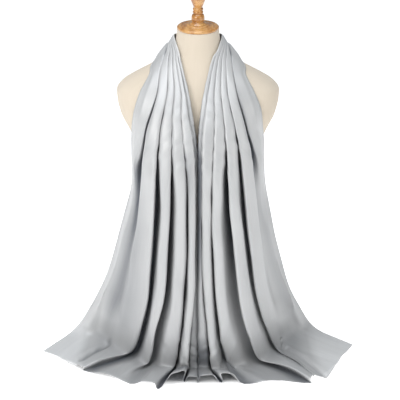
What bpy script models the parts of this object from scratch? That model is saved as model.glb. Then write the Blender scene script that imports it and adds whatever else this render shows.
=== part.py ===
# A satin hijab hung round the neck of a limbless dress form.
# The scarf is one plain rectangle.  Its middle is gathered behind the neck and
# both ends fall down the front in deep pleats and spread over the floor.
# Metres, +Z up, front of the form towards -Y, origin at the centre of the
# form's flat bottom, which stands on the floor.
import math

import bmesh
import bpy
import numpy as np

COLLECTION_NAME = "hijab_on_dress_form"

# Cloth
CLOTH_WALL = 0.001
SEAM_GAP = 0.0005
REST_GAP = 0.0026           # middle of the cloth above the neck's skin
CHEST_GAP = 0.0034          # and above the chest's
FLOOR_GAP = 0.0006          # middle of the cloth above the floor

# Dress form: horizontal sections, in millimetres
# height, half width, front, back, roundness (2 is an ellipse)
FORM_SECTIONS = (
    (0.0, 150.0, 105.0, 108.0, 2.2),
    (30.0, 156.0, 110.0, 114.0, 2.2),
    (110.0, 158.0, 112.0, 118.0, 2.2),
    (200.0, 140.0, 99.0, 100.0, 2.2),
    (300.0, 116.0, 85.0, 80.0, 2.2),
    (380.0, 119.0, 92.0, 84.0, 2.2),
    (440.0, 128.0, 102.0, 89.0, 2.25),
    (480.0, 136.0, 108.0, 93.0, 2.3),
    (505.0, 146.0, 109.0, 96.0, 2.35),
    (540.0, 163.0, 105.0, 98.0, 2.4),
    (570.0, 170.0, 96.0, 97.0, 2.4),
    (588.0, 171.0, 88.0, 93.0, 2.35),
    (604.0, 160.0, 80.0, 88.0, 2.25),
    (620.0, 135.0, 72.0, 80.0, 2.2),
    (637.0, 103.0, 63.5, 70.0, 2.15),
    (655.0, 73.0, 55.5, 58.0, 2.1),
    (670.0, 56.0, 51.0, 49.0, 2.05),
    (690.0, 46.5, 48.0, 42.5, 2.0),
    (716.0, 43.5, 47.5, 38.5, 2.0),
)
FORM_SIDES = 36
FORM_RING_HEIGHTS = (
    0.0, 30.0, 110.0, 160.0, 210.0, 260.0, 310.0, 360.0, 410.0, 455.0, 490.0, 520.0,
    545.0, 567.0, 583.0, 595.0, 606.0, 618.0, 630.0, 642.0, 654.0, 667.0, 682.0, 698.0, 716.0,
)

# Neck cap and finial, turned about an axis that leans forward with the neck
NECK_TOP_HEIGHT = 0.716
NECK_TOP_Y = -0.0045
NECK_LEAN = math.radians(5.0)
TURNING_STEPS = 24
# radius, height above the neck's cut, in millimetres, top to bottom
CAP_PROFILE = (
    (0.0, 9.6),
    (22.0, 9.6),
    (23.8, 8.6),
    (24.4, 7.2),
    (33.0, 7.0),
    (34.2, 6.2),
    (35.4, 7.0),
    (40.6, 6.6),
    (43.2, 4.6),
    (43.6, 2.6),
    (42.6, 0.3),
    (0.0, 0.3),
)
FINIAL_PROFILE = (
    (0.0, 106.0),
    (6.0, 104.4),
    (11.6, 99.0),
    (15.6, 90.5),
    (17.4, 80.0),
    (16.8, 69.0),
    (14.4, 59.0),
    (11.2, 50.0),
    (8.8, 44.6),
    (10.6, 43.0),
    (11.0, 40.6),
    (9.6, 38.4),
    (10.9, 36.2),
    (11.0, 34.0),
    (9.4, 32.0),
    (12.0, 29.6),
    (13.6, 25.0),
    (13.7, 20.0),
    (12.4, 15.6),
    (13.4, 13.4),
    (17.0, 11.0),
    (18.0, 9.9),
    (0.0, 9.9),
)

# Pleats.  A side of the scarf has six folds between seven guide lines: the
# outer edge, five valleys and the inner edge.  Each row below is one section
# across them, with distances from the middle of the form in millimetres.
# heights behind and beside the neck, where the guides lie on the form
NECK_ROWS = (
    # angle round the form, then the height of each guide
    (90.0, (646.0, 655.0, 663.5, 671.5, 679.0, 686.5, 694.0)),
    (67.5, (648.0, 657.0, 665.5, 673.5, 681.0, 688.0, 695.0)),
    (45.0, (650.0, 659.0, 667.5, 675.5, 683.0, 690.0, 696.5)),
    (22.5, (652.0, 660.5, 669.0, 677.0, 684.5, 691.5, 698.0)),
    (0.0, (651.0, 660.0, 669.0, 677.5, 685.5, 692.5, 699.0)),
    (-32.0, (645.0, 653.0, 664.0, 674.0, 682.5, 690.0, 697.0)),
)
# rows on the chest: heights, distances to the side
CHEST_ROWS_LEFT = (
    ((628.0, 641.0, 646.0, 650.0, 654.0, 657.0, 660.0), (101.0, 75.0, 58.7, 47.5, 38.5, 32.5, 28.5)),
    ((600.0,) * 7, (118.0, 79.0, 61.0, 46.0, 32.0, 21.5, 14.5)),
    ((566.0,) * 7, (130.0, 91.0, 71.0, 53.0, 35.0, 18.0, 9.0)),
    ((530.0,) * 7, (137.0, 104.0, 79.0, 55.0, 34.0, 12.0, 3.0)),
)
CHEST_ROWS_RIGHT = (
    ((628.0, 641.0, 646.0, 650.0, 654.0, 657.0, 660.0), (99.0, 69.0, 57.0, 47.5, 39.5, 33.0, 29.0)),
    ((600.0,) * 7, (115.0, 76.0, 60.0, 48.0, 36.0, 24.0, 15.5)),
    ((566.0,) * 7, (129.0, 87.0, 70.0, 54.0, 38.0, 19.0, 10.0)),
    ((530.0,) * 7, (134.0, 98.0, 78.0, 58.0, 37.0, 13.0, 3.4)),
)
# rows that hang free: height, distances to the side, distances to the front
HANGING_ROWS_LEFT = (
    (490.0, (141.0, 112.0, 82.0, 56.0, 30.0, 8.0, 2.2), (34.0, 80.0, 98.0, 106.0, 110.0, 111.5, 111.5)),
    (440.0, (143.0, 114.0, 84.0, 57.0, 28.0, 8.0, 2.2), (4.0, 88.0, 107.0, 114.0, 117.0, 117.0, 115.0)),
    (360.0, (148.0, 123.0, 87.0, 60.0, 28.0, 8.0, 2.2), (-6.0, 86.0, 112.0, 118.0, 120.0, 120.0, 118.0)),
    (260.0, (174.0, 143.0, 97.0, 66.0, 29.0, 9.0, 2.2), (-10.0, 78.0, 113.0, 122.0, 125.0, 125.0, 123.0)),
    (180.0, (196.0, 162.0, 107.0, 72.0, 34.0, 11.0, 2.2), (-12.0, 66.0, 111.0, 125.0, 128.0, 128.0, 126.0)),
    (110.0, (225.0, 182.0, 122.0, 90.0, 39.0, 18.0, 2.2), (-16.0, 46.0, 106.0, 124.0, 131.0, 131.0, 129.0)),
    (50.0, (255.0, 202.0, 140.0, 102.0, 46.0, 22.0, 2.2), (-20.0, 20.0, 95.0, 122.0, 134.0, 135.0, 133.0)),
)
HANGING_ROWS_RIGHT = (
    (490.0, (139.0, 105.0, 84.0, 62.0, 34.0, 9.5, 2.2), (36.0, 88.0, 98.0, 105.0, 110.0, 111.5, 111.5)),
    (440.0, (142.0, 111.0, 87.0, 63.0, 33.0, 10.0, 2.2), (6.0, 86.0, 106.0, 114.0, 117.0, 117.0, 115.0)),
    (360.0, (150.0, 121.0, 96.0, 68.0, 33.0, 10.0, 2.2), (-4.0, 84.0, 110.0, 118.0, 120.0, 120.0, 118.0)),
    (260.0, (169.0, 137.0, 108.0, 78.0, 36.0, 11.0, 2.2), (-8.0, 76.0, 108.0, 121.0, 125.0, 125.0, 123.0)),
    (180.0, (189.0, 155.0, 120.0, 86.0, 41.0, 15.0, 2.2), (-12.0, 62.0, 104.0, 122.0, 128.0, 128.0, 126.0)),
    (110.0, (211.0, 174.0, 136.0, 100.0, 47.0, 22.0, 2.2), (-18.0, 44.0, 92.0, 119.0, 131.0, 131.0, 129.0)),
    (50.0, (240.0, 190.0, 156.0, 120.0, 52.0, 27.0, 2.2), (-28.0, 24.0, 74.0, 114.0, 134.0, 135.0, 133.0)),
)
# rows on the floor: distances to the side, distances to the front
FLOOR_ROWS_LEFT = (
    ((286.0, 217.0, 152.0, 108.0, 50.0, 23.0, 2.2), (-24.0, 4.0, 87.0, 120.0, 140.0, 143.0, 138.0)),
    ((320.0, 243.0, 196.0, 122.0, 64.0, 25.0, 2.4), (29.0, 64.0, 117.0, 160.0, 182.0, 172.0, 176.0)),
    ((347.0, 269.0, 247.0, 144.0, 82.0, 30.0, 2.6), (73.0, 138.0, 160.0, 216.0, 236.0, 207.0, 211.0)),
)
FLOOR_ROWS_RIGHT = (
    ((270.0, 205.0, 170.0, 132.0, 57.0, 29.0, 2.2), (-34.0, 12.0, 60.0, 108.0, 140.0, 143.0, 138.0)),
    ((311.0, 238.0, 206.0, 189.0, 72.0, 37.0, 2.4), (5.0, 103.0, 105.0, 147.0, 178.0, 180.0, 176.0)),
    ((351.0, 275.0, 250.0, 238.0, 98.0, 50.0, 2.6), (43.0, 193.0, 178.0, 212.0, 216.0, 210.0, 211.0)),
)
# cloth in each fold, outer to inner, in millimetres, at some of the rows above.
# Round the neck most of it is crushed into the gather and isn't modelled.
FOLD_CLOTH_LEFT = (
    # row, then the six folds
    (0.0, 11.0, 16.0, 16.0, 16.0, 16.0, 12.0),
    (4.0, 11.0, 16.0, 16.0, 16.0, 15.0, 12.0),
    (5.0, 13.0, 19.0, 19.0, 18.0, 16.0, 13.0),
    (6.0, 31.0, 30.0, 28.0, 26.0, 22.0, 16.0),
    (7.0, 45.0, 52.0, 46.0, 44.0, 40.0, 26.0),
    (8.0, 46.0, 78.0, 70.0, 70.0, 66.0, 38.0),
    (9.0, 52.0, 102.0, 94.0, 98.0, 96.0, 50.0),
    (10.0, 66.0, 122.0, 112.0, 120.0, 120.0, 60.0),
    (11.0, 94.0, 130.0, 122.0, 130.0, 130.0, 66.0),
    (13.0, 93.0, 134.0, 122.0, 130.0, 132.0, 66.0),
    (15.0, 96.0, 150.0, 112.0, 124.0, 128.0, 60.0),
    (16.0, 92.0, 160.0, 100.0, 108.0, 112.0, 48.0),
    (17.0, 84.0, 124.0, 88.0, 88.0, 88.0, 36.0),
    (19.0, 93.6, 60.0, 127.0, 68.0, 72.0, 30.0),
)
FOLD_CLOTH_RIGHT = (
    (0.0, 11.0, 16.0, 16.0, 16.0, 16.0, 12.0),
    (4.0, 11.0, 16.0, 16.0, 16.0, 15.0, 12.0),
    (5.0, 13.0, 19.0, 19.0, 18.0, 16.0, 13.0),
    (6.0, 32.0, 28.0, 27.0, 26.0, 22.0, 16.0),
    (7.0, 43.0, 48.0, 46.0, 46.0, 42.0, 30.0),
    (8.0, 46.0, 70.0, 70.0, 70.0, 66.0, 48.0),
    (9.0, 52.0, 94.0, 100.0, 100.0, 94.0, 66.0),
    (10.0, 66.0, 110.0, 120.0, 120.0, 114.0, 88.0),
    (11.0, 92.0, 118.0, 128.0, 128.0, 120.0, 104.0),
    (13.0, 90.0, 116.0, 130.0, 130.0, 120.0, 104.0),
    (15.0, 96.0, 110.0, 128.0, 126.0, 116.0, 92.0),
    (16.0, 104.0, 104.0, 116.0, 118.0, 100.0, 72.0),
    (17.0, 92.0, 76.0, 82.0, 104.0, 74.0, 50.0),
    (19.0, 169.0, 36.0, 40.0, 151.0, 54.0, 50.0),
)
# one row for each row of guides: lean of the folds towards the outer edge, in
# degrees, the share of a fold's pitch that its crest is drawn out to, and how
# much more than the cloth's own normal the folds face the front
FOLD_SHAPES = (
    (30.0, 1.00, 0.0),
    (30.0, 1.00, 0.0),
    (30.0, 1.00, 0.0),
    (30.0, 1.00, 0.0),
    (30.0, 1.00, 0.0),
    (26.0, 1.10, 0.0),
    (18.0, 1.10, 0.5),
    (8.0, 1.15, 1.5),
    (4.0, 1.22, 2.5),
    (2.0, 1.25, 3.5),
    (0.0, 1.20, 4.0),
    (0.0, 1.10, 4.0),
    (0.0, 1.10, 4.0),
    (0.0, 1.10, 4.0),
    (0.0, 1.05, 4.0),
    (-4.0, 1.00, 3.5),
    (-8.0, 0.90, 3.0),
    (-12.0, 0.75, 2.0),
    (-16.0, 0.60, 1.2),
    (-10.0, 0.60, 3.0),
)
LEAN_SHARES = (0.0, 1.0, 1.0, 0.8, 0.4, 0.0)    # how far each fold follows the lean
FRONT_SHARES = (0.0, 1.0, 1.0, 1.0, 1.0, 1.0)   # and how far each follows the turn to the front
SHALLOW_CREST = 0.40        # that share where a fold is nearly flat
FLANK_FOOT = 0.14           # a flank's distance from its valley, as a share of the pitch
FLANK_HEIGHT = 0.45         # and its height there, as a share of the depth
ROUNDED_OFF = 0.19          # share of a fold's extra cloth that its rounding saves
DEPTH_ROUNDS = 30           # halvings that find a fold's depth
CLEAR_ROW = 13.0            # the cloth is held clear of the form down to this row
CLEAR_GAP = 0.0018
CLEAR_ROUNDS = 3
FOLD_POINTS = 5             # control points of one fold
ROW_STEP = 0.25             # step along the rows that gives the cloth's run

# Mesh of the stretches
SEAM_ROW = 4.5              # where the neck stretch meets a front, in rows
NECK_STEPS = 8              # rows of faces from the centre back to a seam
FRONT_STEPS = 25            # rows of faces from a seam to the hem
SPAN_STEPS = (1, 2, 2, 2, 1)    # faces in the five spans of one fold

MM = 0.001


def clear_scene():
    for old_object in list(bpy.data.objects):
        bpy.data.objects.remove(old_object, do_unlink=True)


def make_material(name, colour, roughness, sheen=0.0, coat=0.0):
    material = bpy.data.materials.new(name)
    material.use_nodes = True
    shader = material.node_tree.nodes["Principled BSDF"]
    shader.inputs["Base Color"].default_value = (*colour, 1.0)
    shader.inputs["Roughness"].default_value = roughness
    shader.inputs["Metallic"].default_value = 0.0
    shader.inputs["Sheen Weight"].default_value = sheen
    shader.inputs["Coat Weight"].default_value = coat
    material.diffuse_color = (*colour, 1.0)
    return material


def add_object(name, mesh, material, collection):
    piece = bpy.data.objects.new(name, mesh)
    mesh.materials.append(material)
    collection.objects.link(piece)
    return piece


# ---------------------------------------------------------------- dress form
def smooth_lookup(rows, key):
    """Values of a table at a key, on a curve that doesn't overshoot its rows."""
    table = np.asarray(rows, dtype=float)
    keys = table[:, 0]
    values = table[:, 1:]
    slopes = np.diff(values, axis=0) / np.diff(keys)[:, None]
    before = slopes[:-1]
    after = slopes[1:]
    same_sign = before * after > 0.0
    total = np.where(same_sign, before + after, 1.0)
    middle = np.where(same_sign, 2.0 * before * after / total, 0.0)
    tangents = np.vstack([slopes[:1], middle, slopes[-1:]])
    key = min(max(key, keys[0]), keys[-1])
    row = min(int(np.searchsorted(keys, key, side="right")) - 1, len(keys) - 2)
    width = keys[row + 1] - keys[row]
    u = (key - keys[row]) / width
    start_weight = (1.0 + 2.0 * u) * (1.0 - u) ** 2
    end_weight = u * u * (3.0 - 2.0 * u)
    start_slope = u * (1.0 - u) ** 2 * width
    end_slope = u * u * (u - 1.0) * width
    return (start_weight * values[row] + end_weight * values[row + 1]
            + start_slope * tangents[row] + end_slope * tangents[row + 1])


def form_point(height, angle, gap=0.0):
    """Point on the form at an angle from +X, 90 degrees being the back (mm)."""
    half_width, front, back, power = smooth_lookup(FORM_SECTIONS, height)
    depth = back if math.sin(angle) >= 0.0 else front
    cosine = math.cos(angle)
    sine = math.sin(angle)
    x = math.copysign(abs(cosine) ** (2.0 / power), cosine) * (half_width + gap)
    y = math.copysign(abs(sine) ** (2.0 / power), sine) * (depth + gap)
    return np.array([x, y, height])


def form_front(side_distance, height, gap=0.0):
    """How far forward the form's skin is at a distance to the side (mm)."""
    half_width, front, back, power = smooth_lookup(FORM_SECTIONS, height)
    share = min(side_distance / (half_width + gap), 1.0)
    return (front + gap) * (1.0 - share ** power) ** (1.0 / power)


def clear_of_form(point, gap):
    """The point moved straight out until it is at least this gap off the form (mm)."""
    for _ in range(CLEAR_ROUNDS):
        x, y, z = point
        values = []
        for height in (z, z + 1.0):
            half_width, front, back, power = smooth_lookup(FORM_SECTIONS, height)
            depth = back if y >= 0.0 else front
            values.append((abs(x) / half_width) ** power + (abs(y) / depth) ** power)
            if height == z:
                across = power * (abs(x) / half_width) ** (power - 1.0) / half_width
                along = power * (abs(y) / depth) ** (power - 1.0) / depth
        slope = np.array([math.copysign(across, x), math.copysign(along, y), values[1] - values[0]])
        steepness = np.linalg.norm(slope)
        distance = (values[0] - 1.0) / steepness
        if distance >= gap:
            return point
        point = point + (gap - distance) * slope / steepness
    return point


def build_form(material, collection):
    mesh = bpy.data.meshes.new("dress_form_torso")
    shell = bmesh.new()
    rings = []
    for height in FORM_RING_HEIGHTS:
        ring = []
        for side in range(FORM_SIDES):
            x, y, z = form_point(height, 2.0 * math.pi * side / FORM_SIDES) * MM
            if height == FORM_RING_HEIGHTS[-1]:
                z = NECK_TOP_HEIGHT + math.tan(NECK_LEAN) * (y - NECK_TOP_Y)
            ring.append(shell.verts.new((x, y, z)))
        rings.append(ring)
    for lower, upper in zip(rings, rings[1:]):
        for side in range(FORM_SIDES):
            after = (side + 1) % FORM_SIDES
            shell.faces.new((lower[side], lower[after], upper[after], upper[side]))
    shell.faces.new(rings[-1])
    shell.faces.new(list(reversed(rings[0])))
    shell.to_mesh(mesh)
    shell.free()
    piece = add_object("dress_form_torso", mesh, material, collection)
    mesh.shade_smooth()
    mesh.set_sharp_from_angle(angle=math.radians(40.0))
    return piece


def build_turned(name, profile, material, collection, neck_axis):
    """A turned wooden piece: its profile, top to bottom, on a Screw modifier."""
    mesh = bpy.data.meshes.new(name)
    points = [(radius * MM, 0.0, height * MM) for radius, height in profile]
    edges = [(index, index + 1) for index in range(len(points) - 1)]
    mesh.from_pydata(points, edges, [])
    piece = add_object(name, mesh, material, collection)
    screw = piece.modifiers.new("Turning", "SCREW")
    screw.axis = "Z"
    screw.steps = TURNING_STEPS
    screw.render_steps = TURNING_STEPS
    screw.use_merge_vertices = True
    screw.merge_threshold = 0.0001
    screw.use_smooth_shade = True
    piece.parent = neck_axis
    return piece


# --------------------------------------------------------------------- scarf
def guide_rows(chest_rows, hanging_rows, floor_rows, sign):
    """Guide points in millimetres, one row for each section of one side."""
    rest_gap = REST_GAP / MM
    rows = []
    for degrees, heights in NECK_ROWS:
        row = [form_point(height, math.radians(degrees), rest_gap) for height in heights]
        rows.append(row)
    for heights, sides in chest_rows:
        row = []
        for height, side in zip(heights, sides):
            row.append(np.array([side, -form_front(side, height, CHEST_GAP / MM), height]))
        rows.append(row)
    for height, sides, fronts in hanging_rows:
        rows.append([np.array([side, -front, height]) for side, front in zip(sides, fronts)])
    for sides, fronts in floor_rows:
        height = FLOOR_GAP / MM
        rows.append([np.array([side, -front, height]) for side, front in zip(sides, fronts)])
    guides = np.array(rows)
    guides[:, :, 0] *= sign
    return guides


def row_curve(rows, position, mirror=1.0):
    """Catmull-Rom curve through rows of values; it carries on as their mirror."""
    last = len(rows) - 1
    row = min(max(int(math.floor(position)), 0), last - 1)
    u = position - row
    start = rows[row]
    end = rows[row + 1]
    before = rows[row - 1] if row > 0 else end * mirror
    after = rows[row + 2] if row + 2 <= last else 2.0 * end - start
    return 0.5 * (2.0 * start + (end - before) * u
                  + (2.0 * before - 5.0 * start + 4.0 * end - after) * u ** 2
                  + (3.0 * (start - end) + after - before) * u ** 3)


def fold_controls(start, end, direction, crest_share, depth):
    """Control points of one fold: its valley, two flanks and a flat crest."""
    chord = end - start
    deepness = min(depth / np.linalg.norm(chord), 1.0)
    share = SHALLOW_CREST + (crest_share - SHALLOW_CREST) * deepness
    corner = 0.5 * (1.0 - share) * chord
    foot = FLANK_FOOT * chord
    return [
        start,
        start + foot + FLANK_HEIGHT * depth * direction,
        start + corner + depth * direction,
        end - corner + depth * direction,
        end - foot + FLANK_HEIGHT * depth * direction,
    ]


def fold_depth(start, end, direction, crest_share, cloth):
    """How far a fold's crest stands from its chord, so that it holds its cloth."""
    chord_length = np.linalg.norm(end - start)
    shallow = 0.0
    deep = cloth
    for _ in range(DEPTH_ROUNDS):
        depth = 0.5 * (shallow + deep)
        outline = np.array(fold_controls(start, end, direction, crest_share, depth) + [end])
        outline_length = np.linalg.norm(np.diff(outline, axis=0), axis=1).sum()
        if outline_length - ROUNDED_OFF * (outline_length - chord_length) < cloth:
            shallow = depth
        else:
            deep = depth
    return depth


def section_controls(guides, position, fold_cloth):
    """Control points of the section across all folds at a row position."""
    across = np.array([-1.0, 1.0, 1.0])
    points = row_curve(guides, position, across)
    ahead = row_curve(guides, min(position + ROW_STEP, len(guides) - 1.0), across)
    behind = row_curve(guides, abs(position - ROW_STEP), across)
    if position < ROW_STEP:
        behind = behind * across
    along = ahead - behind
    lean, crest_share, front_share = row_curve(np.array(FOLD_SHAPES), position)
    cloth = smooth_lookup(fold_cloth, position)
    chords = np.diff(points, axis=0)
    last = len(points) - 1
    wide_chords = np.array([points[min(fold + 2, last)] - points[max(fold - 1, 0)] for fold in range(last)])
    side_sign = math.copysign(1.0, guides[-1, 0, 0])
    normals = np.cross(wide_chords, 0.5 * (along[:-1] + along[1:])) * side_sign
    normals /= np.linalg.norm(normals, axis=1)[:, None]
    normals += front_share * np.outer(FRONT_SHARES, (0.0, -1.0, 0.0))
    normals /= np.linalg.norm(normals, axis=1)[:, None]
    controls = []
    for fold, chord in enumerate(chords):
        start = points[fold]
        end = points[fold + 1]
        fold_lean = math.radians(lean * LEAN_SHARES[fold])
        outward = -chord / np.linalg.norm(chord)
        direction = math.cos(fold_lean) * normals[fold] + math.sin(fold_lean) * outward
        depth = fold_depth(start, end, direction, crest_share, cloth[fold])
        controls += fold_controls(start, end, direction, crest_share, depth)
    controls.append(points[-1])
    return np.array(controls)


def section_points(controls, span_steps):
    """Cubic B-spline over the controls that passes through the guide points."""
    knots = controls.copy()
    for guide in range(FOLD_POINTS, len(controls) - 1, FOLD_POINTS):
        knots[guide] = (6.0 * controls[guide] - controls[guide - 1] - controls[guide + 1]) / 4.0
    first = 2.0 * knots[0] - knots[1]
    last = 2.0 * knots[-1] - knots[-2]
    knots = np.vstack([first, knots, last])
    points = []
    for span in range(len(controls) - 1):
        steps = span_steps[span % FOLD_POINTS]
        a, b, c, d = knots[span:span + 4]
        for step in range(steps):
            u = step / steps
            points.append(((1.0 - u) ** 3 * a + (3.0 * u ** 3 - 6.0 * u ** 2 + 4.0) * b
                           + (-3.0 * u ** 3 + 3.0 * u ** 2 + 3.0 * u + 1.0) * c + u ** 3 * d) / 6.0)
    points.append(controls[-1])
    return np.array(points)


def cloth_section(side, position):
    guides, fold_cloth = side
    points = section_points(section_controls(guides, position, fold_cloth), SPAN_STEPS)
    if position < CLEAR_ROW:
        points = np.array([clear_of_form(point, CLEAR_GAP / MM) for point in points])
    points = points * MM
    points[:, 2] = np.maximum(points[:, 2], FLOOR_GAP)
    return points


def build_stretch(name, sections, material, collection):
    """A stretch of cloth: an open surface through its sections, given a wall."""
    mesh = bpy.data.meshes.new(name)
    surface = bmesh.new()
    rows = [[surface.verts.new(point) for point in section] for section in sections]
    for row, after in zip(rows, rows[1:]):
        for index in range(len(row) - 1):
            surface.faces.new((row[index], row[index + 1], after[index + 1], after[index]))
    surface.to_mesh(mesh)
    surface.free()
    piece = add_object(name, mesh, material, collection)
    wall = piece.modifiers.new("Cloth wall", "SOLIDIFY")
    wall.thickness = CLOTH_WALL
    wall.offset = 0.0
    mesh.shade_smooth()
    return piece


def build_scarf(material, collection):
    left = (guide_rows(CHEST_ROWS_LEFT, HANGING_ROWS_LEFT, FLOOR_ROWS_LEFT, -1.0), FOLD_CLOTH_LEFT)
    right = (guide_rows(CHEST_ROWS_RIGHT, HANGING_ROWS_RIGHT, FLOOR_ROWS_RIGHT, 1.0), FOLD_CLOTH_RIGHT)
    hem_row = float(len(FOLD_SHAPES) - 1)
    neck_positions = np.linspace(0.0, SEAM_ROW, NECK_STEPS + 1)
    neck_sections = [cloth_section(left, position) for position in neck_positions[::-1]]
    neck_sections += [cloth_section(right, position) for position in neck_positions[1:]]
    build_stretch("scarf_neck", neck_sections, material, collection)
    for name, side in (("scarf_front_left", left), ("scarf_front_right", right)):
        here = cloth_section(side, SEAM_ROW)
        beyond = cloth_section(side, SEAM_ROW + ROW_STEP)
        slowest = np.linalg.norm(beyond - here, axis=1).min() / ROW_STEP
        start = SEAM_ROW + SEAM_GAP / slowest
        positions = np.linspace(start, hem_row, FRONT_STEPS + 1)
        sections = [cloth_section(side, position) for position in positions]
        build_stretch(name, sections, material, collection)


def build_all():
    clear_scene()
    collection = bpy.data.collections.new(COLLECTION_NAME)
    bpy.context.scene.collection.children.link(collection)
    satin = make_material("silver_satin", (0.66, 0.68, 0.70), 0.38, sheen=0.3)
    jersey = make_material("cream_jersey", (0.84, 0.77, 0.67), 0.85)
    wood = make_material("varnished_wood", (0.72, 0.42, 0.15), 0.28, coat=0.6)
    build_form(jersey, collection)
    neck_axis = bpy.data.objects.new("neck_axis", None)
    collection.objects.link(neck_axis)
    neck_axis.location = (0.0, NECK_TOP_Y, NECK_TOP_HEIGHT)
    neck_axis.rotation_euler = (NECK_LEAN, 0.0, 0.0)
    build_turned("neck_cap", CAP_PROFILE, wood, collection, neck_axis)
    build_turned("neck_finial", FINIAL_PROFILE, wood, collection, neck_axis)
    build_scarf(satin, collection)


build_all()
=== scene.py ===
# Satin hijab round the neck of a limbless dress form.
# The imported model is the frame; this script gives the cloth, form and wood their looks.
import math

import bpy
import numpy as np
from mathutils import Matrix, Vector


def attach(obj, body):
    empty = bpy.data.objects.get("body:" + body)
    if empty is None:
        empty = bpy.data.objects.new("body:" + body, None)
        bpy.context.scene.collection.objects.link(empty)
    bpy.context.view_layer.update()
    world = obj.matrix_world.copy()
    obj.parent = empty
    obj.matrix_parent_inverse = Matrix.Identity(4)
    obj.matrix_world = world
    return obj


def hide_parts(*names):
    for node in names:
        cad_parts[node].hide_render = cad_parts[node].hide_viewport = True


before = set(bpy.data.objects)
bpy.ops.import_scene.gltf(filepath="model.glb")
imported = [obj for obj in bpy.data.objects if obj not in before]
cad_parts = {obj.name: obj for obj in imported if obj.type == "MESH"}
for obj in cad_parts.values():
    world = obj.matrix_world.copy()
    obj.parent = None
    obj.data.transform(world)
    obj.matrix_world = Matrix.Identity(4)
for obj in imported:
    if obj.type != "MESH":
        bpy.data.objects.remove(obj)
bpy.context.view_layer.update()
mm = 0.001
print("frame loaded")


formShape = {
    "sections": (
        # height, half width, front, back, roundness (2 is an ellipse), in millimetres
        (0, 150, 105, 108, 2.2), (30, 156, 110, 114, 2.2),
        (110, 158, 112, 118, 2.2), (200, 140, 99, 100, 2.2),
        (300, 116, 85, 80, 2.2), (380, 119, 92, 84, 2.2),
        (440, 128, 102, 89, 2.25), (480, 136, 108, 93, 2.3),
        (505, 146, 109, 96, 2.35), (540, 163, 105, 98, 2.4),
        (570, 170, 96, 97, 2.4), (588, 171, 88, 93, 2.35),
        (604, 160, 80, 88, 2.25), (620, 135, 72, 80, 2.2),
        (637, 103, 63.5, 70, 2.15), (655, 73, 55.5, 58, 2.1),
        (670, 56, 51, 49, 2.05), (690, 46.5, 48, 42.5, 2),
        (716, 43.5, 47.5, 38.5, 2),
    ),
    "rings": 150,
    "sides": 120,
    "closer": 0.06,                    # how much closer together the rings lie at half height
    "neckTop": (0.0, -4.5, 716.0),     # middle of the neck's cut
    "neckLean": math.radians(5.0),
    "seams": (0.0, 0.5 * math.pi, math.pi),
    "besideSeam": (-0.016, -0.006, 0.006, 0.016),    # angles of the extra sides at each seam
    "seamDepth": 0.5,                  # the cover's seams sink this far, in millimetres
    "seamWidth": 1.4,
    "uvRadius": 0.14,                  # metres of knit for each radian round the form
    "sharpAngle": math.radians(45.0),
}


def smoothLookup(rows, key):
    # values of a table at a key, on a curve that doesn't overshoot its rows
    table = np.asarray(rows, dtype=float)
    keys, values = table[:, 0], table[:, 1:]
    slopes = np.diff(values, axis=0) / np.diff(keys)[:, None]
    before, after = slopes[:-1], slopes[1:]
    sameSign = before * after > 0.0
    total = np.where(sameSign, before + after, 1.0)
    middle = np.where(sameSign, 2.0 * before * after / total, 0.0)
    tangents = np.vstack([slopes[:1], middle, slopes[-1:]])
    key = min(max(key, keys[0]), keys[-1])
    row = min(int(np.searchsorted(keys, key, side="right")) - 1, len(keys) - 2)
    width = keys[row + 1] - keys[row]
    u = (key - keys[row]) / width
    return ((1.0 + 2.0 * u) * (1.0 - u) ** 2 * values[row] + u * u * (3.0 - 2.0 * u) * values[row + 1]
            + u * (1.0 - u) ** 2 * width * tangents[row] + u * u * (u - 1.0) * width * tangents[row + 1])


def formPoint(height, angle, gap=0.0):
    # on the form's skin at an angle from +X, 90 degrees being the back
    halfWidth, front, back, power = smoothLookup(formShape["sections"], height)
    depth = back if math.sin(angle) >= 0.0 else front
    x = math.copysign(abs(math.cos(angle)) ** (2.0 / power), math.cos(angle)) * (halfWidth + gap)
    y = math.copysign(abs(math.sin(angle)) ** (2.0 / power), math.sin(angle)) * (depth + gap)
    return np.array([x, y, height])


def formFront(sideDistance, height, gap=0.0):
    halfWidth, front, back, power = smoothLookup(formShape["sections"], height)
    share = min(sideDistance / (halfWidth + gap), 1.0)
    return (front + gap) * (1.0 - share ** power) ** (1.0 / power)


def clearOfForm(point, gap):
    # moves a point straight out until it is at least this gap off the form
    tries = 3
    for _ in range(tries):
        x, y, z = point
        values = []
        for height in (z, z + 1.0):
            halfWidth, front, back, power = smoothLookup(formShape["sections"], height)
            depth = back if y >= 0.0 else front
            values.append((abs(x) / halfWidth) ** power + (abs(y) / depth) ** power)
            if height == z:
                across = power * (abs(x) / halfWidth) ** (power - 1.0) / halfWidth
                along = power * (abs(y) / depth) ** (power - 1.0) / depth
        slope = np.array([math.copysign(across, x), math.copysign(along, y), values[1] - values[0]])
        steepness = np.linalg.norm(slope)
        distance = (values[0] - 1.0) / steepness
        if distance >= gap:
            return point
        point = point + (gap - distance) * slope / steepness
    return point


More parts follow.
